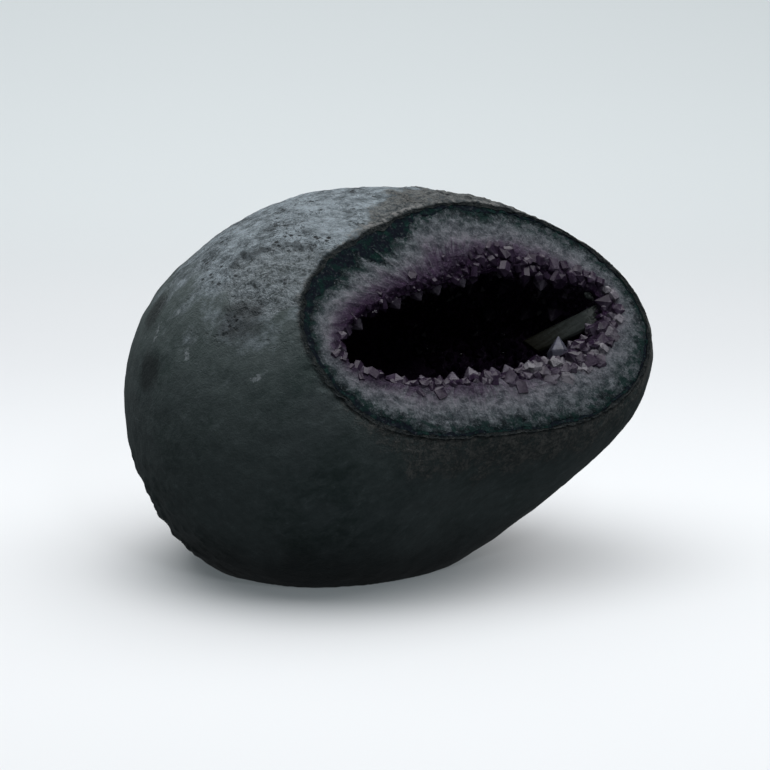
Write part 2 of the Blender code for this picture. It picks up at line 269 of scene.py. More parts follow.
class Field:
    """A socket of a material. Sums and products of fields add Math nodes, and node() adds any other node."""

    def __init__(self, tree, socket=None):
        self.tree, self.socket = tree, socket

    def node(self, kind, inputs=None, output=0, stops=None, **settings):
        made = self.tree.nodes.new("ShaderNode" + kind)
        for name, value in settings.items():
            setattr(made, name, value)
        if stops:
            elements = made.color_ramp.elements
            while len(elements) < len(stops):
                elements.new(0.5)
            for element, (position, tone) in zip(elements, stops):
                element.position, element.color = position, (*tone, 1.0)
        self.feed(made, inputs or {})
        return Field(self.tree, made.outputs[output])

    def feed(self, shader, inputs):
        for name, value in inputs.items():
            if isinstance(value, Field):
                self.tree.links.new(value.socket, shader.inputs[name])
            else:
                shader.inputs[name].default_value = value

    def maths(self, operation, *values):
        return self.node("Math", dict(enumerate(values)), operation=operation)

    def __add__(self, other):
        return self.maths("ADD", self, other)

    def __sub__(self, other):
        return self.maths("SUBTRACT", self, other)

    def __rsub__(self, other):
        return self.maths("SUBTRACT", other, self)

    def __mul__(self, other):
        return self.maths("MULTIPLY", self, other)

    __radd__ = __add__
    __rmul__ = __mul__

    def step(self, low, high):
        """0 where the field is below low, 1 above high, and smooth between; low may be the greater."""
        return self.node(
            "MapRange", {"Value": self, "From Min": low, "From Max": high}, interpolation_type="SMOOTHSTEP"
        )

    def mix(self, first, second):
        """A colour that goes from first to second as this field goes from 0 to 1."""
        return self.node("Mix", {0: self, 6: first, 7: second}, output=2, data_type="RGBA")

    def noise(self, where, size, detail=2.0, roughness=0.5):
        """Noise from 0 to 1 with lumps of this size, in the units of where."""
        inputs = {"Vector": where, "Scale": 1.0 / size, "Detail": detail, "Roughness": roughness}
        return self.node("TexNoise", inputs, output="Fac")

    def cells(self, where, size, feature="F1", output="Distance"):
        inputs = {"Vector": where, "Scale": 1.0 / size}
        return self.node("TexVoronoi", inputs, output=output, feature=feature)

    def stored(self, name, output="Fac"):
        return self.node("Attribute", output=output, attribute_name=name)

    def stretched(self, where, turn, scale):
        """Coordinates turned by degrees, then scaled along each axis."""
        turned = self.node("Mapping", {"Vector": where, "Rotation": [math.radians(a) for a in turn]})
        return self.node("Mapping", {"Vector": turned, "Scale": scale})


def new_finish(name, **constants):
    """A Principled material with these constants on its sockets, its shader, and a field to build its nodes from."""
    made = bpy.data.materials.new(name)
    made.use_nodes = True
    shader = made.node_tree.nodes["Principled BSDF"]
    for socket, value in constants.items():
        shader.inputs[socket.replace("_", " ")].default_value = value
    return made, shader, Field(made.node_tree)


def colour(red, green, blue):
    return (red, green, blue, 1.0)


cement, shader, nodes = new_finish("dark_cement", Specular_IOR_Level=0.18)
place = nodes.node("TexCoord", output="Object")
pale, bare, spall = nodes.stored("pale"), nodes.stored("bare"), nodes.stored("spall")
pitted, lip, sawn = nodes.stored("pitted"), nodes.stored("lip"), nodes.stored("sawn")
clouds = nodes.noise(place, 0.030, 4.0, 0.6)
mottle = nodes.noise(place, 0.0045, 3.0, 0.6)
grit = nodes.noise(place, 0.0011, 2.0, 0.6)
low_strokes = nodes.noise(nodes.stretched(place, (0, 24, 0), (0.55, 1.0, 1.0)), 0.0040, 6.0, 0.76)
high_strokes = nodes.noise(nodes.stretched(place, (0, -52, 0), (0.45, 1.0, 1.0)), 0.0055, 7.0, 0.80)
strokes = pale * high_strokes + (1.0 - pale) * low_strokes
bends = nodes.maths("ABSOLUTE", nodes.noise(place, 0.013, 3.0, 0.6) - 0.5)
arcs = bends.step(0.020, 0.004) * nodes.noise(place, 0.017, 2.0).step(0.50, 0.60) * (pale * 0.5 + pitted * 0.5)
sheen = nodes.noise(place, 0.060, 3.0, 0.55).step(0.38, 0.62)
stain = nodes.stored("stain") * (0.35 + mottle)
grains = nodes.noise(place, 0.0017, 3.0, 0.7)
speckle = nodes.noise(place, 0.0013, 4.0, 0.8)
pits = nodes.cells(nodes.stretched(place, (0, -30, 0), (0.75, 1.0, 1.1)), 0.0036) + (grit - 0.5) * 0.5
pits = pits.step(0.34, 0.16) * pitted * nodes.noise(place, 0.011, 2.0).step(0.44, 0.54)
slants = nodes.noise(nodes.stretched(place, (0, 40, 0), (0.12, 1.0, 1.0)), 0.008, 4.0, 0.6)
scratches = nodes.maths("ABSOLUTE", slants - 0.5).step(0.014, 0.003) * mottle.step(0.45, 0.65)
green_grey, blue_grey = colour(0.024, 0.040, 0.038), colour(0.052, 0.065, 0.070)
body = clouds.step(0.30, 0.70).mix(green_grey, blue_grey)
body = (sheen * 0.5).mix(body, colour(0.046, 0.062, 0.060))
# Lighter where the strokes wore the cement, and partly where the painted sheen lies.
wear_and_sheen = strokes.step(0.36, 0.68) * 0.50 + sheen * 0.25 + mottle.step(0.3, 0.8) * 0.25
body = wear_and_sheen.mix(body, colour(0.080, 0.102, 0.103))
# The pale upper side: dusty cement, painted lighter in part as the light that falls on the top.
dust_and_top_light = (clouds * 0.35 + strokes * 0.65).step(0.38, 0.60)
dust_and_top_light = dust_and_top_light.mix(colour(0.034, 0.044, 0.051), colour(0.255, 0.302, 0.336))
dust_and_top_light = (grit.step(0.53, 0.66) * 0.8 * (0.35 + pitted)).mix(dust_and_top_light, colour(0.020, 0.026, 0.031))
dust_and_top_light = (grains.step(0.58, 0.70) * strokes.step(0.48, 0.60) * 0.7).mix(dust_and_top_light, colour(0.36, 0.41, 0.44))
edge = (pale + (strokes - 0.5) * 1.2 + (mottle - 0.5) * 0.6).step(0.10, 0.85)
body = (edge * 0.92).mix(body, dust_and_top_light)
rubble = (grains * 0.5 + strokes * 0.5).step(0.38, 0.60)
rubble = rubble.mix(colour(0.030, 0.038, 0.040), colour(0.20, 0.23, 0.25))
body = (spall * 0.80).mix(body, rubble)
# Painted shadow: a near-black arc along the spall's upper side.
body = (nodes.stored("ledge_shadow") * mottle.step(0.36, 0.56) * 0.85).mix(body, colour(0.008, 0.011, 0.013))
brown = (speckle * 0.35 + grains * 0.35 + mottle * 0.30).step(0.41, 0.59)
brown = brown.mix(colour(0.010, 0.012, 0.013), colour(0.135, 0.134, 0.126))
ragged = bare + (mottle - 0.5) * 0.9 + (clouds - 0.5) * 0.8 + (grains - 0.5) * 0.9
ragged = ragged.step(0.30, 0.85) * bare.step(0.0, 0.25)
body = (ragged * 0.80).mix(body, brown)
body = (scratches * 0.30).mix(body, colour(0.11, 0.13, 0.14))
body = pits.mix(body, colour(0.008, 0.010, 0.012))
body = (arcs * 0.8).mix(body, colour(0.012, 0.015, 0.018))
chalk = 0.0
for azimuth, elevation, size in CHALK_MARKS:
    line = direction_at(azimuth, elevation)[None]
    spot = (MIDDLE + line * grown_reach(line)[:, None])[0].tolist()
    gap = nodes.node("VectorMath", {0: place, 1: spot}, output="Value", operation="DISTANCE")
    chalk = (gap + (grains - 0.5) * 0.0080 + (mottle - 0.5) * 0.0040).step(size, size * 0.4) + chalk
body = (chalk * 0.6).mix(body, colour(0.24, 0.27, 0.29))
cut_edge = (mottle * 0.5 + grains * 0.5).step(0.44, 0.64)
cut_edge = cut_edge.mix(colour(0.006, 0.010, 0.012), colour(0.026, 0.030, 0.030))
body = (sawn * 0.95).mix(body, cut_edge)
# The raised lip is painted pale grey, partly as a highlight along the rim's top edge.
body = (lip * mottle.step(0.50, 0.60) * 0.8).mix(body, colour(0.20, 0.20, 0.20))
# Darker near the foot, as painted shade where the stone meets the ground, and darker in the stains.
level = nodes.node("SeparateXYZ", {0: place}, output="Z")
stain_and_foot_shade = (level + (clouds - 0.5) * 0.030).step(0.048, 0.002) + stain.step(0.35, 0.75) * 0.75
body = (stain_and_foot_shade * 0.85).mix(body, colour(0.003, 0.004, 0.005))
relief = strokes * (0.45 + 1.1 * pale) + mottle * 0.35 + grit * 0.45 * (0.6 + bare + spall)
relief = relief + (bare + spall + sawn) * grains * 1.5 - pits * 1.4 - arcs * 0.8
bumps = nodes.node("Bump", {"Height": relief, "Strength": 0.85, "Distance": 0.0012})
rough = 0.62 + 0.25 * bare + 0.16 * pale + 0.2 * sawn - strokes * 0.10
nodes.feed(shader, {"Base Color": body, "Roughness": rough, "Normal": bumps})

bm = bmesh.new()
bmesh.ops.create_cube(bm, size=2.0)
bmesh.ops.subdivide_edges(bm, edges=bm.edges, cuts=RIND_SQUARES - 1, use_grid_fill=True)
lines = unit(np.tan(points_of(bm.verts) * math.pi / 4.0))
height, _ = weathering(lines)
outside = np.maximum(grown_reach(lines) + height, rind_reach(lines) + RIND_LEAST / 2.0)
set_points(bm.verts, MIDDLE + lines * grounded(lines, outside)[:, None])
bmesh.ops.bisect_plane(
    bm,
    geom=bm.verts[:] + bm.edges[:] + bm.faces[:],
    plane_co=MIDDLE + OUTWARD * WINDOW_DISTANCE,
    plane_no=OUTWARD,
    clear_outer=True,
)
inner_tilts = window_tilts(rind_reach)
ring = [edge for edge in bm.edges if edge.is_boundary]
for step in range(1 - SAWN_ROWS, RIND_RINGS + 1):
    made = bmesh.ops.extrude_edge_only(bm, edges=ring)["geom"]
    ring = [part for part in made if isinstance(part, bmesh.types.BMEdge)]
    verts = [part for part in made if isinstance(part, bmesh.types.BMVert)]
    old = points_of(verts)
    around, _ = window_angles(lines_of(old))
    edge_tilt = np.interp(around, ROUND, inner_tilts)
    lines = window_lines(around, edge_tilt + (LAST_RING_TILT - edge_tilt) * max(step, 0) / RIND_RINGS)
    new = MIDDLE + lines * rind_reach(lines)[:, None]
    if step < 0:  # over the cut edge, which is broken as much as sawn
        new = old + (new - old) / (1 - step)
        new -= OUTWARD * (0.0007 * np.abs(lumps(new, 0.0028, 2, 8.0)))[:, None]
    set_points(verts, new)
bmesh.ops.pointmerge(bm, verts=verts, merge_co=MIDDLE - OUTWARD * rind_reach(-OUTWARD[None])[0])
bmesh.ops.recalc_face_normals(bm, faces=bm.faces)
rind = add_piece("cement_rind", bm, cement)
rind.data.set_sharp_from_angle(angle=math.radians(50.0))
shown = np.empty(len(rind.data.vertices) * 3, np.float32)
rind.data.vertices.foreach_get("co", shown)
for name, values in weathering(lines_of(shown.reshape(-1, 3).astype(float)))[1].items():
    add_attribute(rind, name, values)
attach(rind, "root")
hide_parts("rind")


# ---- The celadonite line
# A skin of soft green celadonite between the basalt and the quartz, where the gas bubble's wall was first coated.
# It is a few millimetres thick, swells to a wide dark zone at the window's upper -X side, and is grown to both.

# How wide the green shows in the window, in metres, by degrees round it.
CELADONITE_WIDTH = (
    (0, 0.0010), (30, 0.0011), (50, 0.0020), (62, 0.0036), (75, 0.0022), (90, 0.0026), (105, 0.0060),
    (120, 0.0092), (135, 0.0088), (150, 0.0066), (165, 0.0046), (180, 0.0026), (195, 0.0022),
    (210, 0.0024), (225, 0.0026), (240, 0.0018), (255, 0.0022), (270, 0.0026), (285, 0.0018),
    (300, 0.0018), (315, 0.0014), (330, 0.0016), (345, 0.0012), (360, 0.0010),
)
HIDDEN_WIDTH, HIDDEN_FROM = 0.0012, 0.3  # its width inside the stone, and how many radians from the rim
EVEN_SHARE = 0.72  # of those widths, on average along the ragged edge
CELADONITE_LEAST = 0.0005
PLAY = 0.00012  # between neighbouring layers
AROUND_STEPS = 480  # faces in each row of a layer


def celadonite_reach(lines):
    """Where the celadonite ends and the quartz begins."""
    around, tilt = window_angles(lines)
    past_rim = np.maximum(tilt - np.interp(around, ROUND, RIM_TILTS), 0.0)
    near_window = np.exp(-((past_rim / HIDDEN_FROM) ** 2))
    points = lines * USUAL_REACH
    width = HIDDEN_WIDTH + (along_window(around, CELADONITE_WIDTH) - HIDDEN_WIDTH) * near_window
    ragged = 1.0 + 0.85 * lumps(points, 0.0110, 2, 4.0) + 0.30 * lumps(points, 0.0045, 2, 9.0)
    return rind_reach(lines) - np.maximum(width * EVEN_SHARE * ragged, CELADONITE_LEAST)


def layer_mesh(outside, inside, steps, finish_face):
    """A closed shell round the middle of the egg that the window cuts open.

    Its rows run from the far pole along the inside to the window, over the cut face, and back along the outside.
    steps is how many rows each of the three takes, and finish_face says how far the cut face stands proud."""
    bm = bmesh.new()
    rows = sum(steps)
    bmesh.ops.create_grid(bm, x_segments=AROUND_STEPS, y_segments=rows, size=0.5)
    flat = points_of(bm.verts)
    around = (flat[:, 0] * 2.0) * math.pi
    row = (flat[:, 1] + 0.5) * rows
    inner_tilt = np.interp(around, ROUND, window_tilts(inside))
    outer_tilt = np.interp(around, ROUND, window_tilts(outside))
    to_rim = np.clip(row / steps[0], 0.0, 1.0)
    over = np.clip((row - steps[0]) / steps[1], 0.0, 1.0)
    back = np.clip((row - steps[0] - steps[1]) / steps[2], 0.0, 1.0)
    inner_lines = window_lines(around, math.pi + (inner_tilt - math.pi) * to_rim**0.9)
    outer_lines = window_lines(around, outer_tilt + (math.pi - outer_tilt) * back)
    inner = inner_lines * inside(inner_lines)[:, None]
    outer = outer_lines * outside(outer_lines)[:, None]
    points = np.where((row > steps[0] + 0.5)[:, None], outer, inner)
    face = (over > 0.001) & (over < 0.999)
    mixed = inner + (outer - inner) * over[:, None]
    points[face] = mixed[face]
    on_face = (row > steps[0] - 0.01) & (row < steps[0] + steps[1] + 0.01)
    points[on_face] += OUTWARD * finish_face(points[on_face])[:, None]
    set_points(bm.verts, MIDDLE + points)
    bmesh.ops.remove_doubles(bm, verts=bm.verts, dist=1e-6)
    bmesh.ops.recalc_face_normals(bm, faces=bm.faces)
    return bm


def inset(reach, depth):
    return lambda lines: reach(lines) - depth


celadonite, shader, nodes = new_finish("celadonite", Specular_IOR_Level=0.0)
place = nodes.node("TexCoord", output="Object")
patches = nodes.noise(place, 0.0045, 3.0, 0.6)
crumbs = nodes.noise(place, 0.0012, 2.0, 0.6)
green = patches.step(0.46, 0.66).mix(colour(0.008, 0.010, 0.015), colour(0.008, 0.022, 0.020))
green = (crumbs.step(0.54, 0.74) * 0.55).mix(green, colour(0.028, 0.058, 0.050))
green = (nodes.noise(place, 0.0030, 4.0, 0.65).step(0.58, 0.70) * 0.6).mix(green, colour(0.070, 0.078, 0.085))
bumps = nodes.node("Bump", {"Height": patches + crumbs * 0.6, "Strength": 0.8, "Distance": 0.0007})
nodes.feed(shader, {"Base Color": green, "Roughness": 0.60 + 0.3 * crumbs, "Normal": bumps})

bm = layer_mesh(
    inset(rind_reach, PLAY),
    celadonite_reach,
    (14, 8, 14),
    lambda points: 0.0004 * lumps(points, 0.003, 2, 1.0) - 0.0003,
)
skin = add_piece("celadonite_line", bm, celadonite)
skin.data.set_sharp_from_angle(angle=math.radians(50.0))
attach(skin, "root")
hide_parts("celadonite_skin")


# ---- The quartz band
# Cloudy grey-white quartz, grown inwards from the celadonite in fine columns that stand across the band.
# The saw left it flat, with a sugary texture where the columns broke, and it passes into the amethyst.

SLOT_AXES = np.array((0.0865, 0.029, 0.070))
SLOT_SHIFT = np.array((0.0105, -0.007, 0.060))
SLOT_TURN = np.column_stack((ACROSS, UPWARD, OUTWARD)) @ np.array(Matrix.Rotation(math.radians(4.0), 3, "Z"))
NOOK = unit(ACROSS * 0.036 + UPWARD * 0.030 + OUTWARD * WINDOW_DISTANCE)
NOOK_DEPTH, NOOK_SPREAD = 0.0065, math.radians(13.0)  # the depth is to the tips of the points that fill it
WALL = 0.040  # from the outside to the chamber
BLEND = 14.0  # the greater, the sharper the edge between the chamber and the slot
WALL_LUMP_SIZE, WALL_LUMP_HEIGHT = 0.022, 0.0022
COLUMN_ROUND, COLUMN_OUT = 60.0, 200.0  # the scales of the coordinates along and across the columns


def hollow_reach(lines):
    """The hollow: a chamber that follows the outside, joined to the slot under the window, with lumps on its wall."""
    chamber = grounded(lines, grown_reach(lines)) - WALL
    local = lines @ SLOT_TURN
    d, c = local / SLOT_AXES, SLOT_SHIFT / SLOT_AXES
    dd, dc = (d * d).sum(axis=1), d @ c
    slot = (dc + np.sqrt(dc**2 - dd * (c @ c - 1.0))) / dd
    reach = (chamber**BLEND + slot**BLEND) ** (1.0 / BLEND)
    nook_angle = np.arccos(np.clip(lines @ NOOK, -1.0, 1.0))
    reach += NOOK_DEPTH * np.exp(-((nook_angle / NOOK_SPREAD) ** 2))
    bumps = [noise.noise(place) for place in (lines * (reach / WALL_LUMP_SIZE)[:, None]).tolist()]
    return reach + WALL_LUMP_HEIGHT * np.array(bumps)


def quartz_reach(lines):
    """Where the quartz ends and the amethyst bed begins, halfway to the hollow."""
    start = celadonite_reach(lines)
    return start + 0.5 * (hollow_reach(lines) - start)


QUARTZ_TILTS, MOUTH_TILTS = window_tilts(celadonite_reach), window_tilts(hollow_reach)


def face_share(points):
    """How far in a point of the sawn face lies, from 0 at the celadonite to 1 at the mouth."""
    around, tilt = window_angles(unit(points))
    start, end = (np.tan(np.interp(around, ROUND, tilts)) for tilts in (QUARTZ_TILTS, MOUTH_TILTS))
    return np.clip((start - np.tan(np.minimum(tilt, 1.4))) / (start - end), 0.0, 1.0)


def growth(points):
    """How far in any point lies, from 0 at the celadonite to 1 at the hollow."""
    lines = unit(points)
    start, end = celadonite_reach(lines), hollow_reach(lines)
    share = np.clip((start - np.linalg.norm(points, axis=1)) / (start - end), 0.0, 1.0)
    return np.maximum(share, face_share(points))


def columns(points):
    """Coordinates in which the columns stand upright: round the window in millimetres, and a fifth of the way out."""
    across, upward = points @ ACROSS, points @ UPWARD
    out = np.hypot(across, upward)
    return np.column_stack((COLUMN_ROUND * across / out, COLUMN_ROUND * upward / out, out * COLUMN_OUT))


# How strong the violet is, by degrees round the window: most in the roof, least along the lower lip.
VIOLET_STRENGTH = (
    (0, 0.92), (20, 1.04), (45, 1.16), (80, 1.10), (120, 1.02), (180, 1.08), (205, 0.92), (240, 0.78), (290, 0.78),
    (330, 0.76), (350, 0.84), (360, 0.92),
)


def store_growth(piece):
    shown = np.empty(len(piece.data.vertices) * 3, np.float32)
    piece.data.vertices.foreach_get("co", shown)
    points = shown.reshape(-1, 3).astype(float) - MIDDLE
    around, _ = window_angles(unit(points))
    add_attribute(piece, "growth", growth(points) * along_window(around, VIOLET_STRENGTH))
    add_attribute(piece, "columns", columns(points))


def cut_crystal(name):
    """The sawn crystal of both layers: cloudy quartz that turns to amethyst as it grows inwards."""
    made, shader, nodes = new_finish(name, IOR=1.54, Specular_IOR_Level=0.04)
    place = nodes.node("TexCoord", output="Object")
    upright = nodes.stored("columns", output="Vector")
    inwards = nodes.stored("growth")
    fibres = nodes.node(
        "TexNoise",
        {"Vector": upright, "Scale": 0.85, "Detail": 4.0, "Roughness": 0.70, "Distortion": 0.8},
        output="Fac",
    )
    prisms = nodes.cells(upright, 2.6)
    prism_shade = nodes.node("SeparateColor", {0: nodes.cells(upright, 2.6, output="Color")})
    cloud = nodes.noise(place, 0.0060, 5.0, 0.70)
    wide = nodes.noise(place, 0.016, 2.0, 0.5)
    sugar = nodes.noise(place, 0.0011, 3.0, 0.75)
    depth = inwards + (prism_shade - 0.5) * 0.26 * inwards + (fibres - 0.5) * (0.10 + 0.45 * inwards)
    depth = depth + (cloud - 0.5) * 0.34 + (wide - 0.5) * 0.30 + (sugar - 0.5) * 0.14
    ramp = nodes.node(
        "ValToRGB",
        {0: depth},
        stops=(
            (0.00, (0.006, 0.014, 0.016)),
            (0.08, (0.045, 0.056, 0.062)),
            (0.22, (0.113, 0.125, 0.139)),
            (0.42, (0.140, 0.142, 0.162)),
            (0.54, (0.112, 0.102, 0.128)),
            (0.66, (0.058, 0.044, 0.070)),
            (0.82, (0.032, 0.019, 0.040)),
            (1.00, (0.036, 0.018, 0.046)),
        ),
    )
    shade = cloud.step(0.38, 0.62) * 0.60 + sugar.step(0.38, 0.62) * 0.34
    shade = shade + fibres.step(0.38, 0.68) * 0.25 * inwards
    shade = shade.mix(colour(0.34, 0.37, 0.40), colour(1.30, 1.30, 1.29))
    body = nodes.node("Mix", {0: 1.0, 6: ramp, 7: shade}, output=2, data_type="RGBA", blend_type="MULTIPLY")
    glints = sugar.step(0.56, 0.74) * (0.10 + 0.5 * fibres)
    body = glints.mix(body, colour(0.26, 0.26, 0.30))
    fleck = nodes.noise(place, 0.0046, 5.0, 0.72).step(0.49, 0.57) * inwards.step(0.36, 0.05)
    body = (fleck * 0.92).mix(body, colour(0.007, 0.022, 0.021))
    relief = (fibres * 0.5 + prisms * 0.35) * inwards + sugar * 0.70 + cloud * 0.50
    bumps = nodes.node("Bump", {"Height": relief, "Strength": 0.9, "Distance": 0.0013})
    rough = 0.34 + 0.25 * cloud - 0.12 * inwards
    nodes.feed(shader, {"Base Color": body, "Roughness": rough, "Normal": bumps})
    return made


MOUTH_DIP = 0.0050  # how far the whole points at the mouth's edge are rooted below the saw's flat
# Where the sawn face gives way to whole points, as a share of the way in, by degrees round the window.
DIP_START = (
    (0, 0.42), (12, 0.50), (28, 0.60), (42, 0.50), (58, 0.58), (80, 0.86), (200, 0.84), (250, 0.78), (290, 0.80),
    (320, 0.55), (340, 0.36), (360, 0.42),
)


def sawn_face(points):
    """The saw's flat, with the broken ends of the columns on it, dipping towards the mouth where points stand."""
    around, _ = window_angles(unit(points))
    start = along_window(around, DIP_START) + 0.10 * lumps(points, 0.009, 2, 12.0)
    dip = MOUTH_DIP * smooth((face_share(points) - start) / (1.02 - start))
    grain = 0.00012 * lumps(columns(points), 2.0, 2, 3.0) + 0.00055 * lumps(points, 0.0032, 3)
    return grain - 0.0003 - dip


cloudy = cut_crystal("cloudy_quartz")
bm = layer_mesh(inset(celadonite_reach, PLAY), quartz_reach, (16, 30, 14), sawn_face)
quartz = add_piece("quartz_ring", bm, cloudy)
quartz.data.set_sharp_from_angle(angle=math.radians(50.0))
store_growth(quartz)
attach(quartz, "root")
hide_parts("quartz_band")


# ---- The amethyst bed
# The violet inner half of the crystal wall. Its columns end in points that crowd together all over the hollow.
# The saw cut it flat in the window, and its ragged edge there is the mouth of the hollow.

POINT_SPACING = 0.0050
CONE_HEIGHT, CONE_SHARE = 0.0024, 0.65  # the share is a cone's radius over the spacing
CONE_SINK = 0.0012  # so that the wall's mean stays where it was


def druse_reach(lines):
    """The hollow's wall with a small cone for each point that stands on it."""
    reach = hollow_reach(lines)
    places = (lines * (reach / POINT_SPACING)[:, None]).tolist()
    nearest = np.array([noise.voronoi(place)[0][0] for place in places])
    return reach - CONE_HEIGHT * np.maximum(1.0 - nearest / CONE_SHARE, 0.0) + CONE_SINK


bed_finish = cut_crystal("amethyst_bed_violet")
bm = layer_mesh(inset(quartz_reach, PLAY), druse_reach, (84, 26, 12), sawn_face)
bed = add_piece("crystal_bed", bm, bed_finish)
bed.data.set_sharp_from_angle(angle=math.radians(35.0))
store_growth(bed)
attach(bed, "root")
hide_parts("amethyst_bed")


# ---- The druse
# Some thousands of small amethyst points that cover the bed: six-sided, short, close together and leaning a little.
# They are violet at the root and clearer at the tip, and grow out of the bed.

DRUSE_STEP = 0.0034  # between neighbouring roots
DRUSE_DEPTH = 0.125  # how far behind the window the druse is grown
LONE_ROOM = 0.0085  # left clear round the crystals that stand apart
# The points near the mouth are painted lighter, as the light that comes in there; it fades out this far in.
MOUTH_LIGHT_DEPTH = 0.030  # how far in the points are paler
MOUTH_DEPTH = 0.009  # how far in they belong to the mouth
ROOT_DEPTH = 0.003  # how far they are rooted in the bed
PROUD = 0.0006  # the most that one stands past the saw's flat
POINT_CORNERS, POINT_VERTS = 6, 13  # six at the root, six at the shoulder, and the tip
# Where the points at the mouth are stout, by degrees round the window: along its lower lip and its +X end.
STOUT_POINTS = ((0, 1.0), (25, 0.5), (50, 0.1), (170, 0.1), (205, 0.8), (300, 0.9), (335, 1.3), (360, 1.0))


def violet_finish(name, root, tip, shine):
    """Glassy crystal, deep at its root and paler at its tip, with growth lines across the faces; painted lighter near
    the hollow's mouth and darker deep in it, as light and shade.
    """
    made, shader, nodes = new_finish(name, IOR=1.54, Specular_IOR_Level=shine)
    place = nodes.node("TexCoord", output="Object")
    height, tint_and_shade, mouth_light = nodes.stored("height"), nodes.stored("tint_and_shade"), nodes.stored("mouth_light")
    veil = nodes.noise(place, 0.0030, 4.0, 0.7)
    fade = height + (veil - 0.5) * 0.9 + (tint_and_shade - 0.5) * 0.6
    # Painted light: the root colour is lifted near the hollow's mouth.
    body = mouth_light.mix(root, colour(0.030, 0.019, 0.038))
    body = fade.step(0.20, 1.05).mix(body, tip)
    body = (tint_and_shade.step(0.76, 1.0) * 0.7).mix(body, colour(0.200, 0.195, 0.215))
    body = (nodes.noise(place, 0.0020, 3.0, 0.65).step(0.48, 0.62) * 0.50).mix(body, root)
    lines = nodes.noise(nodes.stretched(place, (30, 20, 0), (1.0, 1.0, 3.0)), 0.0012, 2.0)
    bumps = nodes.node("Bump", {"Height": lines, "Strength": 0.35, "Distance": 0.0003})
    nodes.feed(shader, {"Base Color": body, "Roughness": 0.05 + 0.20 * veil, "Normal": bumps})
    return made


def small_point(radius, length, pyramid, lean):
    """A six-sided prism with a pyramid on it, along +Z, rooted at the origin."""
    bm = bmesh.new()
    shaft = max(length - pyramid, length * 0.3)
    bmesh.ops.create_cone(
        bm, cap_ends=True, segments=POINT_CORNERS, radius1=radius * 0.95, radius2=radius, depth=shaft,
        matrix=Matrix.Translation((0.0, 0.0, shaft / 2.0)),
    )
    top = max(bm.faces, key=lambda face: face.calc_center_median().z)
    peak = bmesh.ops.poke(bm, faces=[top])["verts"][0]
    peak.co += Vector((lean[0] * radius, lean[1] * radius, length - shaft))
    return bm


def standing(root, axis, spin):
    """The matrix that stands a crystal on its root, along its axis and turned about it."""
    turn = Vector(axis).to_track_quat("Z", "Y").to_matrix().to_4x4()
    return Matrix.Translation(root) @ turn @ Matrix.Rotation(spin, 4, "Z")


def wall_sites(pieces, spacing, rng):
    """Places about this far apart on the hollow's wall and the mouth's slope: point, depth, whether on the slope."""
    chosen, taken = [], {}
    spots = [
        (np.array(vert.co) - MIDDLE, np.array(vert.normal), inwards.value)
        for piece in pieces
        for vert, inwards in zip(piece.data.vertices, piece.data.attributes["growth"].data)
    ]
    rng.shuffle(spots)
    for point, normal, inwards in spots:
        depth = WINDOW_DISTANCE - point @ OUTWARD
        facing = normal @ unit(point)
        on_slope = facing > 0.1 and 0.0016 < depth < 1.3 * MOUTH_DIP and inwards > 0.25
        if not 0.0006 < depth < DRUSE_DEPTH or (facing > -0.05 and not on_slope):
            continue
        cell = tuple((point // spacing).astype(int))
        near = [
            other
            for x in (-1, 0, 1) for y in (-1, 0, 1) for z in (-1, 0, 1)
            for other in taken.get((cell[0] + x, cell[1] + y, cell[2] + z), ())
        ]
        if any(((point - other) ** 2).sum() < spacing**2 for other in near):
            continue
        taken.setdefault(cell, []).append(point)
        chosen.append((point, depth, on_slope))
    return chosen


def hollow_normals(points):
    """The unit vectors that point from the hollow's wall into the hollow."""
    lines = unit(points)
    side = unit(np.cross(lines, OUTWARD + 0.01)) * 0.03
    other = np.cross(lines, side)
    near = [unit(lines + way) for way in (side, other, -side, -other)]
    a, b, c, d = [line * hollow_reach(line)[:, None] for line in near]
    normals = unit(np.cross(c - a, d - b))
    return normals * -np.sign((normals * lines).sum(axis=1))[:, None]


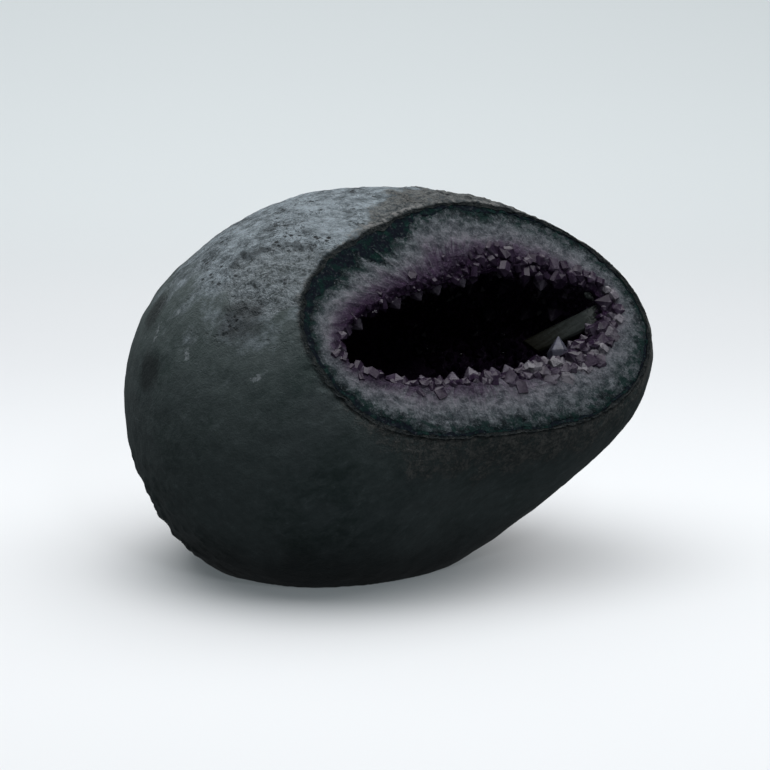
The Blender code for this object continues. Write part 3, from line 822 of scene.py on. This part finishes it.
violet = violet_finish("amethyst_violet", colour(0.010, 0.005, 0.015), colour(0.080, 0.068, 0.094), 0.18)
rng = random.Random(11)
lone = [np.mean(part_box(name), axis=0) - MIDDLE for name in ("clear_point", "calcite_stub")]
sites = [
    site for site in wall_sites((bed, quartz), DRUSE_STEP, rng)
    if min(np.linalg.norm(site[0] - middle) for middle in lone) > LONE_ROOM
]
normals = hollow_normals(np.array([point for point, _, _ in sites]))
druse, crystal_mesh = bmesh.new(), bpy.data.meshes.new("one_crystal")
tints_and_shade, heights, mouth_light = [], [], []
for (point, depth, on_slope), normal in zip(sites, normals):
    around, _ = window_angles(unit(point)[None])
    stout = along_window(around, STOUT_POINTS)[0]
    mouth = math.exp(-((depth / MOUTH_DEPTH) ** 2))
    radius = rng.uniform(0.0012, 0.0024) * (1.0 + 0.9 * mouth * stout) * rng.choice((0.7, 0.9, 1.0, 1.4))
    length = ROOT_DEPTH + radius * rng.uniform(0.7, 2.0)
    axis = normal - OUTWARD * max(normal @ OUTWARD - 0.15, 0.0) * mouth
    if on_slope:
        axis = unit(normal - OUTWARD * (normal @ OUTWARD)) * 0.8 + OUTWARD * 0.7
        length = ROOT_DEPTH + radius * rng.uniform(0.7, 1.5)
    axis = unit(axis + np.array([rng.uniform(-0.55, 0.55) for _ in range(3)]))
    lean = rng.uniform(-0.6, 0.6), rng.uniform(-0.6, 0.6)
    bm = small_point(radius, length, radius * rng.uniform(0.45, 1.1), lean)
    bm.transform(standing(MIDDLE + point - axis * ROOT_DEPTH, axis, rng.uniform(0.0, math.pi)))
    bm.to_mesh(crystal_mesh)
    heights += [0.0] * POINT_CORNERS + [0.55] * POINT_CORNERS + [1.0]
    # The tint is random, raised for the stout points at the mouth and lowered for the slender ones, and lowered
    # further the deeper a point stands, as painted shade in the hollow.
    shade = 0.38 * mouth * stout - 0.45 * max(1.0 - stout, 0.0) - 0.45 * min(depth / 0.05, 1.0)
    tints_and_shade += [rng.random() * 0.70 + shade] * POINT_VERTS
    # Painted light near the mouth, fading inwards.
    mouth_light += [math.exp(-((depth / MOUTH_LIGHT_DEPTH) ** 2)) * rng.uniform(0.5, 1.2)] * POINT_VERTS
    bm.free()
    druse.from_mesh(crystal_mesh)
spots = points_of(druse.verts)
above = np.maximum((spots - MIDDLE) @ OUTWARD - WINDOW_DISTANCE - PROUD, 0.0)
set_points(druse.verts, spots - above[:, None] * OUTWARD)
bmesh.ops.recalc_face_normals(druse, faces=druse.faces)
bpy.data.meshes.remove(crystal_mesh)
carpet = add_piece("druse_carpet", druse, violet, smooth_faces=False)
add_attribute(carpet, "height", heights)
add_attribute(carpet, "tint_and_shade", tints_and_shade)
add_attribute(carpet, "mouth_light", mouth_light)
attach(carpet, "root")
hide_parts("amethyst_bed")


# ---- The larger points
# Two dozen well-formed amethyst points among the druse: a ragged row round the mouth, and a few on the back wall.
# Each is a six-sided prism with a pyramid, glassy, with worn edges and a clearer tip.

POINT_EDGE = 0.00035
BACK_WALL_FROM = 20  # the number of the first point on the back wall


def worn_crystal(node, edge):
    """A copy of a crystal's CAD node with its edges rounded, and how far along its axis each point is."""
    bm = bmesh.new()
    bm.from_mesh(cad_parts[node].data)
    bmesh.ops.remove_doubles(bm, verts=bm.verts, dist=1e-6)
    bmesh.ops.dissolve_limit(bm, angle_limit=math.radians(1.0), verts=bm.verts, edges=bm.edges)
    middle = points_of(bm.verts).mean(axis=0)
    peak = max(bm.verts, key=lambda vert: (len(vert.link_edges), (vert.co - Vector(middle)).length))
    tip = np.array(peak.co)
    bmesh.ops.bevel(
        bm, geom=bm.edges[:], offset=edge, affect="EDGES", segments=2, profile=0.5, material=-1, clamp_overlap=True
    )
    points = points_of(bm.verts)
    along = (points - tip) @ unit(tip - middle)
    return bm, np.clip(1.0 + along / (-along.min()), 0.0, 1.0)


large_violet = violet_finish("amethyst_points", colour(0.016, 0.010, 0.021), colour(0.092, 0.082, 0.106), 0.22)
for node in sorted(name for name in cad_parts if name.startswith("amethyst_point_")):
    bm, along = worn_crystal(node, POINT_EDGE)
    point = add_piece(node.replace("amethyst", "violet"), bm, large_violet, smooth_faces=False)
    add_attribute(point, "height", along)
    deep = int(node[-2:]) >= BACK_WALL_FROM
    # The points on the back wall are painted darker, and get little of the mouth's painted light, as shade deep in
    # the hollow.
    add_attribute(point, "tint_and_shade", np.full(len(along), rng.uniform(0.35, 0.8) - 0.6 * deep))
    add_attribute(point, "mouth_light", np.full(len(along), 0.1 if deep else 0.8))
    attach(point, "root")
    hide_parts(node)


# ---- The clear point
# One bright, nearly colourless quartz point that stands apart at the foot of the mouth's +X end.
# It is glassy, with sharp faces that catch the light.

CLEAR_EDGE = 0.0003
glass = violet_finish("clear_crystal", colour(0.026, 0.026, 0.038), colour(0.092, 0.096, 0.132), 0.22)
bm, along = worn_crystal("clear_point", CLEAR_EDGE)
clear = add_piece("clear_crystal_point", bm, glass, smooth_faces=False)
add_attribute(clear, "height", along)
add_attribute(clear, "tint_and_shade", np.full(len(along), 0.5))
add_attribute(clear, "mouth_light", np.zeros(len(along)))
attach(clear, "root")
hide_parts("clear_point")


# ---- The calcite
# A flat blade of greenish-grey calcite that grew across the +X end of the hollow, and a short stub beside it.
# The blade's root end is broken and pale, its far end is painted darker and yellower as shade deep in the hollow, and
# its faces are waxy with lines along them.

BLADE_ENDS = 0.057, 0.099  # across the window from its middle, from the far end to the root
BLADE_EDGE, STUB_EDGE = 0.0004, 0.0002
BLADE_FACE = 0.0012  # its longest edge of a face, fine enough to be roughened

wax, shader, nodes = new_finish("calcite_wax", IOR=1.5, Specular_IOR_Level=0.05)
place = nodes.node("TexCoord", output="Object")
height = nodes.stored("height")
streaks = nodes.noise(nodes.stretched(place, (0, 28, -20), (20.0, 190.0, 190.0)), 0.35, 3.0, 0.6)
grain = nodes.noise(place, 0.0016, 3.0, 0.6)
# Darker and yellower towards the far end, as painted shade deep in the hollow.
body = (height + (grain - 0.5) * 0.5).step(0.1, 0.75)
body = body.mix(colour(0.008, 0.008, 0.005), colour(0.036, 0.043, 0.041))
body = (streaks.step(0.44, 0.60) * 0.6 * height).mix(body, colour(0.058, 0.068, 0.066))
body = (height.step(0.70, 0.92) * grain.step(0.42, 0.58) * 0.8).mix(body, colour(0.22, 0.24, 0.23))
bumps = nodes.node("Bump", {"Height": streaks + grain * 0.7, "Strength": 0.7, "Distance": 0.0006})
nodes.feed(shader, {"Base Color": body, "Roughness": 0.35 + 0.2 * grain, "Normal": bumps})

bm, _ = worn_crystal("calcite_blade", BLADE_EDGE)
bmesh.ops.triangulate(bm, faces=bm.faces)
for _ in range(3):
    bmesh.ops.subdivide_edges(bm, edges=[edge for edge in bm.edges if edge.calc_length() > BLADE_FACE], cuts=1)
    bmesh.ops.triangulate(bm, faces=bm.faces)
points = points_of(bm.verts)
along = np.clip(((points - MIDDLE) @ ACROSS - BLADE_ENDS[0]) / (BLADE_ENDS[1] - BLADE_ENDS[0]), 0.0, 1.0)
normals = np.array([vert.normal for vert in bm.verts])
broken = smooth((along - 0.72) / 0.2)
proud = 0.00035 * lumps(points, 0.0040, 3, 14.0) + 0.0006 * broken * lumps(points, 0.0022, 2, 15.0)
set_points(bm.verts, points + normals * proud[:, None])
blade = add_piece("calcite_blade_crystal", bm, wax, smooth_faces=False)
blade.data.set_sharp_from_angle(angle=math.radians(30.0))
add_attribute(blade, "height", along)
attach(blade, "root")
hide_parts("calcite_blade")
bm, along = worn_crystal("calcite_stub", STUB_EDGE)
stub = add_piece("calcite_stub_crystal", bm, wax, smooth_faces=False)
add_attribute(stub, "height", np.ones(len(along)))
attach(stub, "root")
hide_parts("calcite_stub")


# ---- The camera, the lights and the ground
# A low camera in front, one wide soft light above and a little behind, and a weak one in front for the crystals.
# The ground is a pale sheet that sweeps up into the backdrop, and glows a little, with a painted shadow in its glow
# close by the foot.

CAMERA_AIM = Vector((-0.0021, 0.0141, 0.09075))
CAMERA_ELEVATION = math.radians(12.0)
CAMERA_DISTANCE = 1.5
VIEW_WIDTH = 0.00055 * 770  # at the aim
SENSOR_WIDTH = 36.0  # millimetres
FOOT_MIDDLE = (-0.04, -0.03, 0.0)
BEND_START, BEND_RUN, BEND_RISE, WALL_SLOPE = 1.0, 1.2, 0.9, 2.0  # how the sheet turns up into the backdrop

camera_data = bpy.data.cameras.new("camera")
camera = bpy.data.objects.new("camera", camera_data)
bpy.context.scene.collection.objects.link(camera)
bpy.context.scene.camera = camera
back = Vector((0.0, -math.cos(CAMERA_ELEVATION), math.sin(CAMERA_ELEVATION)))
camera.location = CAMERA_AIM + back * CAMERA_DISTANCE
camera.rotation_euler = (math.pi / 2.0 - CAMERA_ELEVATION, 0.0, 0.0)
camera_data.sensor_width = SENSOR_WIDTH
camera_data.lens = SENSOR_WIDTH * CAMERA_DISTANCE / VIEW_WIDTH
camera_data.clip_start = 0.01

LIGHTS = (  # name, place, aim, size, watts, colour
    ("overhead", (0.04, 0.26, 1.35), (0.0, 0.0, 0.08), (2.5, 1.9), 40.0, (1.0, 1.0, 1.0)),
    ("front", (0.35, -1.2, 0.95), (0.03, -0.03, 0.13), (0.2, 0.2), 2.2, (0.95, 0.97, 1.0)),
)
for name, place, aim, size, watts, tone in LIGHTS:
    data = bpy.data.lights.new(name, "AREA")
    data.shape, data.size, data.size_y = "RECTANGLE", *size
    data.energy, data.color = watts, tone
    light = bpy.data.objects.new(name, data)
    light.location = place
    light.rotation_euler = (Vector(aim) - Vector(place)).to_track_quat("-Z", "Y").to_euler()
    bpy.context.scene.collection.objects.link(light)

world = bpy.data.worlds.new("studio")
world.use_nodes = True
world.node_tree.nodes["Background"].inputs["Color"].default_value = (0.80, 0.86, 0.90, 1.0)
world.node_tree.nodes["Background"].inputs["Strength"].default_value = 0.14
bpy.context.scene.world = world
bpy.context.scene.view_settings.view_transform = "Standard"

sheet, shader, nodes = new_finish("backdrop", Roughness=0.9, Specular_IOR_Level=0.1)
shader.inputs["Base Color"].default_value = (0.53, 0.545, 0.56, 1.0)
place = nodes.node("TexCoord", output="Object")
away = nodes.node("SeparateXYZ", {0: place}, output="Y")
gap = nodes.node("VectorMath", {0: place, 1: FOOT_MIDDLE}, output="Value", operation="DISTANCE")
glow = away.step(0.6, 0.0).mix(colour(0.14, 0.145, 0.15), colour(0.27, 0.275, 0.28))
glow = away.step(0.6, 1.4).mix(glow, colour(0.23, 0.265, 0.27))
# A painted contact shadow: the floor's glow is darkened close by the foot.
glow = (gap.step(0.135, 0.050) * 0.75).mix(glow, colour(0.02, 0.035, 0.04))
nodes.feed(shader, {"Emission Color": glow})
shader.inputs["Emission Strength"].default_value = 1.0

bm = bmesh.new()
bmesh.ops.create_grid(bm, x_segments=4, y_segments=60, size=3.0)
for vert in bm.verts:
    run = vert.co.y
    bend = min(max((run - BEND_START) / BEND_RUN, 0.0), 1.0) * math.pi / 2.0
    vert.co.z = BEND_RISE * (1.0 - math.cos(bend)) + max(run - BEND_START - BEND_RUN, 0.0) * WALL_SLOPE
    vert.co.y = run if run < BEND_START else BEND_START + BEND_RISE * math.sin(bend)
bmesh.ops.recalc_face_normals(bm, faces=bm.faces)
ground = add_piece("ground", bm, sheet)
ground.visible_diffuse = ground.visible_glossy = False  # black cards keep its glow off the stone
